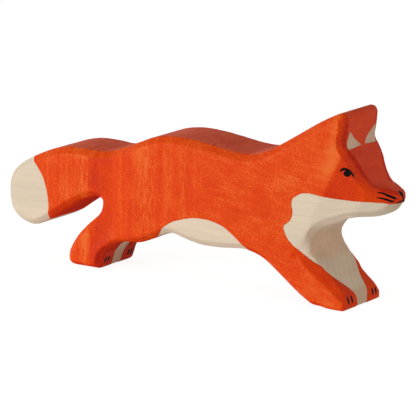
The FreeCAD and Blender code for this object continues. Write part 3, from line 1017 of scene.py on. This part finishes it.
def wood_figure_group():
    """Maple cut along the grain: growth lines, short pores and slow changes of tone.

    Place is in millimetres, with the grain along X.
    """
    group, given, result = new_group(
        "wood_figure", {"Place": None, "Ring Pitch": RING_PITCH}, ["Rings", "Pores", "Tone"])
    place = given["Place"]
    drift = soft_noise(group, stretched(group, place, DRIFT_SCALE))
    wobble = soft_noise(group, stretched(group, place, WOBBLE_SCALE))
    axes = axes_of(group, place)
    height = with_part_of(group, axes["Z"], axes["Y"], RING_SLOPE)
    height = with_part_of(group, height, drift, RING_DRIFT)
    height = with_part_of(group, height, wobble, RING_WOBBLE)
    turn = calc(group, "FRACT", calc(group, "DIVIDE", height, given["Ring Pitch"]))
    late_wood = remap(group, turn, LATE_WOOD_START, 1.0)
    uneven = soft_noise(group, stretched(group, place, UNEVEN_SCALE, UNEVEN_SHIFT), detail=3.0)
    group.links.new(calc(group, "MULTIPLY", late_wood, uneven), result["Rings"])
    fine = soft_noise(group, stretched(group, place, PORE_SCALE), detail=3.0, roughness=0.65)
    group.links.new(remap(group, fine, *PORE_RANGE), result["Pores"])
    tone = soft_noise(group, stretched(group, place, TONE_SCALE, TONE_SHIFT))
    group.links.new(tone, result["Tone"])
    return group


def bare_maple(figure):
    """Pale sanded maple with faint growth lines and pores, darker where the grain ends."""
    material, tree, shader, place = new_material("bare_maple")
    wood = use_group(tree, figure, {"Place": place})
    along_grain = calc(tree, "ABSOLUTE", axes_of(tree, surface_normal(tree))["X"])
    end_grain = remap(tree, along_grain, *END_GRAIN_TURN)
    colour = mix_colours(tree, end_grain, WOOD_PALE, WOOD_END)
    ring_colour = mix_colours(tree, end_grain, WOOD_RING, WOOD_END_RING)
    rings = calc(tree, "MULTIPLY", wood["Rings"], remap(tree, end_grain, *RING_BY_END_GRAIN))
    colour = mix_colours(tree, rings, colour, ring_colour)
    colour = mix_colours(tree, calc(tree, "MULTIPLY", wood["Pores"], PORE_STRENGTH), colour, WOOD_PORE)
    tone = remap(tree, wood["Tone"], *VALUE_BY_TONE)
    toned = output(tree, "ShaderNodeHueSaturation", {"Value": tone, "Color": colour})
    tree.links.new(toned, shader.inputs["Base Color"])
    tree.links.new(remap(tree, wood["Pores"], *ROUGH_BY_PORES), shader.inputs["Roughness"])
    shader.inputs["Specular IOR Level"].default_value = WOOD_SPECULAR
    bump(tree, shader, calc(tree, "MULTIPLY", wood["Pores"], -1.0), **WOOD_BUMP)
    return material


# Brush streaks: widths and lengths in millimetres, and how broad and narrow streaks mix
GLAZE_UPRIGHT = {"Streak Width": 1.0, "Streak Length": 18.0}
GLAZE_LEVEL = {"Streak Width": 0.7, "Streak Length": 5.0}
BLACK_STROKE = {"Streak Width": 0.25, "Streak Length": 1.5}
BROAD_SCALE = 0.45
NARROW_SCALE = 1.9
BROAD_PART = 0.6
NARROW_PART = 0.4


def brush_streak_group():
    """Streaks that a brush leaves along its stroke, which runs along the Z of Place."""
    group, given, result = new_group("brush_streaks", {"Place": None, **GLAZE_UPRIGHT}, ["Streak"])
    width = calc(group, "DIVIDE", 1.0, given["Streak Width"])
    length = calc(group, "DIVIDE", 1.0, given["Streak Length"])
    scale = output(group, "ShaderNodeCombineXYZ", {"X": width, "Y": length, "Z": length})
    place = output(group, "ShaderNodeVectorMath", {0: given["Place"], 1: scale}, operation="MULTIPLY")
    broad = soft_noise(group, place, BROAD_SCALE, roughness=0.55)
    narrow = soft_noise(group, place, NARROW_SCALE, detail=3.0, roughness=0.7)
    total = with_part_of(group, calc(group, "MULTIPLY", broad, BROAD_PART), narrow, NARROW_PART)
    group.links.new(total, result["Streak"])
    return group


# The glaze, from thin to pooled, and a paler colour on the front of the face: a painted sheen
GLAZE_THIN = (0.860, 0.155, 0.024, 1)
GLAZE_FULL = (0.800, 0.060, 0.001, 1)
GLAZE_DEEP = (0.640, 0.036, 0.008, 1)
GLAZE_POOL = (0.480, 0.016, 0.003, 1)
GLAZE_STOPS = [(0.075, GLAZE_THIN), (0.39, GLAZE_FULL), (0.75, GLAZE_DEEP), (1.00, GLAZE_POOL)]
DEPTH_SCALE = 0.75
GLAZE_PAINTED_SHEEN = (0.680, 0.076, 0.034, 1)
FRONT_SHEEN_SHARE = 0.45
GLAZE_SPECULAR = 0.075
GLAZE_BUMP = {"strength": 0.15, "distance": 0.04 * MM}

# Where the brush laid more paint (above a half) or less, from the tail tip to the snout
LAP_SHARES = [
    (0.120, 0.52), (0.195, 0.48), (0.222, 0.28), (0.230, 0.36), (0.236, 0.74), (0.262, 0.80),
    (0.288, 0.70), (0.315, 0.52), (0.345, 0.66), (0.372, 0.42), (0.400, 0.38), (0.415, 0.52),
    (0.470, 0.56), (0.488, 0.36), (0.498, 0.68), (0.510, 0.50), (0.600, 0.54), (0.720, 0.48)]
LAP_WAVER = 2.2
LAP_WAVER_SCALE = 0.12
TOP_LAP = 0.50
TOP_TURN = (0.3, 0.7)

# From here on along X, in millimetres, the strokes run level instead of upright
SHOULDER_RANGE = (-4.0, 12.0)
SHOULDER_WAVER = 18.0
SHOULDER_WAVER_SCALE = 0.06
LEVEL_TURN = 80

# How strongly each pattern changes the depth of the glaze, and each pattern's own scale
STREAK_DEPTH = 0.9
CLOUD_DEPTH = 0.7
CLOUD_SCALE = 0.10
FLECK_DEPTH = 1.6
FLECK_SCALE = (1.5, 1.5, 2.4)
BRISTLE_SCALE = (1.4, 0.9, 0.24)
SHOULDER_BRISTLE_LOSS = 0.7
# The cheek's thicker paint together with the painted shade
THICK_PAINT_AND_SHADE_STRENGTH = 0.45
BRISTLE_BY_LAP = (0.25, 0.55, 2.6, 0.6)
WORN_BY_CLOUD = (0.40, 0.60, 0.00, 0.12)
# Lighter behind the cheek's ridge: worn thin, and partly a painted highlight
RUBBED_HIGHLIGHT_BY_FLECK = (0.40, 0.60, 0.15, 0.95)
ROUGH_BY_STREAK = (0.3, 0.7, 0.50, 0.62)
MATT_BY_SHELTER = (0.0, 0.5)


def glaze_streaks(tree, streaks, place, on_shoulder):
    """Upright strokes from the tail to the flank, level ones over the shoulder and the head."""
    upright = use_group(tree, streaks, {"Place": place, **GLAZE_UPRIGHT})["Streak"]
    turn = (0, math.radians(LEVEL_TURN), 0)
    turned = output(tree, "ShaderNodeMapping", {"Vector": place, "Rotation": turn})
    level = use_group(tree, streaks, {"Place": turned, **GLAZE_LEVEL})["Streak"]
    return mix_values(tree, on_shoulder, upright, level)


def glaze_laps(tree, place, along):
    """How much paint each lap of the brush laid; the faces that look up are even."""
    wavy = swing(tree, soft_noise(tree, place, LAP_WAVER_SCALE), LAP_WAVER)
    share_along = remap(
        tree, calc(tree, "ADD", along, wavy), wood_low.x / MM, wood_high.x / MM, smooth=False)
    stops = [(share, (amount, amount, amount, 1)) for share, amount in LAP_SHARES]
    on_top = remap(tree, axes_of(tree, surface_normal(tree))["Z"], *TOP_TURN)
    return mix_values(tree, on_top, colour_ramp(tree, share_along, stops), TOP_LAP)


def glaze_depth(tree, place, along, on_shoulder, streak):
    """How thick the glaze looks: laps, bristles, streaks, clouds and flecks, thicker paint and
    painted shade, then the wear and the painted highlight behind the cheek's ridge.
    """
    laps = glaze_laps(tree, place, along)
    cloudy = soft_noise(tree, place, CLOUD_SCALE, detail=3.0, roughness=0.6)
    flecks = soft_noise(tree, stretched(tree, place, FLECK_SCALE), detail=3.0, roughness=0.7)
    bristles = soft_noise(tree, stretched(tree, place, BRISTLE_SCALE), detail=3.0, roughness=0.75)
    bristle_part = calc(
        tree, "SUBTRACT", 1.0, calc(tree, "MULTIPLY", on_shoulder, SHOULDER_BRISTLE_LOSS))
    dry_brush = swing(tree, bristles, remap(tree, laps, *BRISTLE_BY_LAP))
    depth = with_part_of(tree, laps, dry_brush, bristle_part)
    for value, amount in ((streak, STREAK_DEPTH), (cloudy, CLOUD_DEPTH), (flecks, FLECK_DEPTH)):
        depth = calc(tree, "ADD", depth, swing(tree, value, amount))
    # Thicker paint on the cheek, and painted shade on the crease and on faces turned to the front or
    # down
    depth = with_part_of(tree, depth, attribute(tree, "thick_paint_and_shade"), THICK_PAINT_AND_SHADE_STRENGTH)
    worn = calc(tree, "MULTIPLY", attribute(tree, "edge"), remap(tree, cloudy, *WORN_BY_CLOUD))
    # Lighter behind the cheek's ridge: worn thin, and partly a painted highlight
    rubbed_and_highlight = calc(tree, "MULTIPLY", attribute(tree, "rubbed_and_highlight"), remap(tree, flecks, *RUBBED_HIGHLIGHT_BY_FLECK))
    return calc(tree, "SUBTRACT", calc(tree, "SUBTRACT", depth, worn), rubbed_and_highlight)


def orange_glaze(figure, streaks):
    """Translucent orange brushed over the wood: streaks, grain and thin places show through."""
    material, tree, shader, place = new_material("orange_glaze")
    wood = use_group(tree, figure, {"Place": place})
    along = axes_of(tree, place)["X"]
    ragged = swing(tree, soft_noise(tree, place, SHOULDER_WAVER_SCALE), SHOULDER_WAVER)
    on_shoulder = remap(tree, calc(tree, "ADD", along, ragged), *SHOULDER_RANGE)
    streak = glaze_streaks(tree, streaks, place, on_shoulder)
    depth = glaze_depth(tree, place, along, on_shoulder, streak)
    colour = colour_ramp(tree, calc(tree, "MULTIPLY", depth, DEPTH_SCALE), GLAZE_STOPS)
    # Painted sheen: the flat front of the face is mixed towards a paler colour
    front_sheen = calc(tree, "MULTIPLY", attribute(tree, "front"), FRONT_SHEEN_SHARE)
    tree.links.new(mix_colours(tree, front_sheen, colour, GLAZE_PAINTED_SHEEN), shader.inputs["Base Color"])
    rough = remap(tree, streak, *ROUGH_BY_STREAK)
    matt = remap(tree, attribute(tree, "sheltered"), *MATT_BY_SHELTER)
    tree.links.new(calc(tree, "MAXIMUM", rough, matt), shader.inputs["Roughness"])
    shader.inputs["Specular IOR Level"].default_value = GLAZE_SPECULAR
    bump(tree, shader, calc(tree, "ADD", streak, wood["Pores"]), **GLAZE_BUMP)
    return material


# The black paint
BLACK = (0.0020, 0.0015, 0.0018, 1)
BLACK_THIN = (0.0080, 0.0045, 0.0035, 1)
THIN_RANGE = (0.50, 0.75)
BLACK_ROUGH_BY_STREAK = (0.3, 0.7, 0.45, 0.62)
BLACK_SPECULAR = 0.06
BLACK_BUMP = {"strength": 0.20, "distance": 0.03 * MM}


def black_brush_paint(streaks):
    """Soft black, a little thinner where the brush lifted."""
    material, tree, shader, place = new_material("black_brush_paint")
    streak = use_group(tree, streaks, {"Place": place, **BLACK_STROKE})["Streak"]
    thin = remap(tree, streak, *THIN_RANGE)
    tree.links.new(mix_colours(tree, thin, BLACK, BLACK_THIN), shader.inputs["Base Color"])
    tree.links.new(remap(tree, streak, *BLACK_ROUGH_BY_STREAK), shader.inputs["Roughness"])
    shader.inputs["Specular IOR Level"].default_value = BLACK_SPECULAR
    bump(tree, shader, streak, **BLACK_BUMP)
    return material


# The floor and the sky


def seen_directly(tree):
    """One for a ray from the camera, a reflection or clear glass, else zero."""
    path = add_node(tree, "ShaderNodeLightPath").outputs
    clear = calc(tree, "MAXIMUM", path["Is Glossy Ray"], path["Is Transmission Ray"])
    return calc(tree, "MAXIMUM", path["Is Camera Ray"], clear)


def grey(tree, level):
    """A matt grey shader."""
    return output(tree, "ShaderNodeBsdfDiffuse", {"Color": (level, level, level, 1)})


def floor_white():
    """White where it is seen, a little darker where the fox shades it; it also bounces light."""
    material = bpy.data.materials.new("floor_white")
    material.use_nodes = True
    tree = material.node_tree
    tree.nodes.remove(tree.nodes["Principled BSDF"])
    glow = output(tree, "ShaderNodeEmission", {"Color": (1, 1, 1, 1), "Strength": FLOOR_GLOW})
    shown = output(tree, "ShaderNodeAddShader", {0: glow, 1: grey(tree, FLOOR_SHADE)})
    mixed = output(
        tree, "ShaderNodeMixShader", {0: seen_directly(tree), 1: grey(tree, FLOOR_BOUNCE), 2: shown})
    tree.links.new(mixed, tree.nodes["Material Output"].inputs["Surface"])
    return material


def place_floor():
    """A plane under the paws."""
    w = FLOOR_HALF_WIDTH
    floor = link_mesh("floor", [(-w, -w, 0), (w, -w, 0), (w, w, 0), (-w, w, 0)], [(0, 1, 2, 3)])
    floor.data.materials.append(floor_white())


def white_world():
    """A sky that looks white and lights softly."""
    world = bpy.data.worlds.new("studio")
    bpy.context.scene.world = world
    world.use_nodes = True
    tree = world.node_tree
    strength = remap(tree, seen_directly(tree), 0.0, 1.0, SKY_LEVEL, 1.0, smooth=False)
    sky = tree.nodes["Background"]
    sky.inputs["Color"].default_value = (1, 1, 1, 1)
    tree.links.new(strength, sky.inputs["Strength"])


# The whole figurine


def dress(piece, material, slot, *nodes):
    """Gives a piece its finish and lets it stand for its CAD nodes."""
    if not piece.data.materials:
        piece.data.materials.append(material)
    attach(piece, "root")
    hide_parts(*nodes)


def build():
    """The studio, the carved wood, its glaze and its brush marks."""
    place_camera()
    place_lamps()
    white_world()
    place_floor()
    figure = wood_figure_group()
    streaks = brush_streak_group()
    wood = sanded_body()
    glaze = glaze_film(wood)
    dress(wood, bare_maple(figure), "bare_wood", "wood_body")
    dress(glaze, orange_glaze(figure, streaks), "orange_glaze", "orange_glaze")
    stroke_nodes = brush_stroke_nodes()
    paint = black_brush_paint(streaks)
    for node, strokes in all_marks(wood).items():
        mark = painted_mark("painted_" + node, wood, strokes, stroke_nodes, paint)
        dress(mark, paint, "black_paint", node)
    bpy.context.scene.view_settings.view_transform = "Standard"


build()
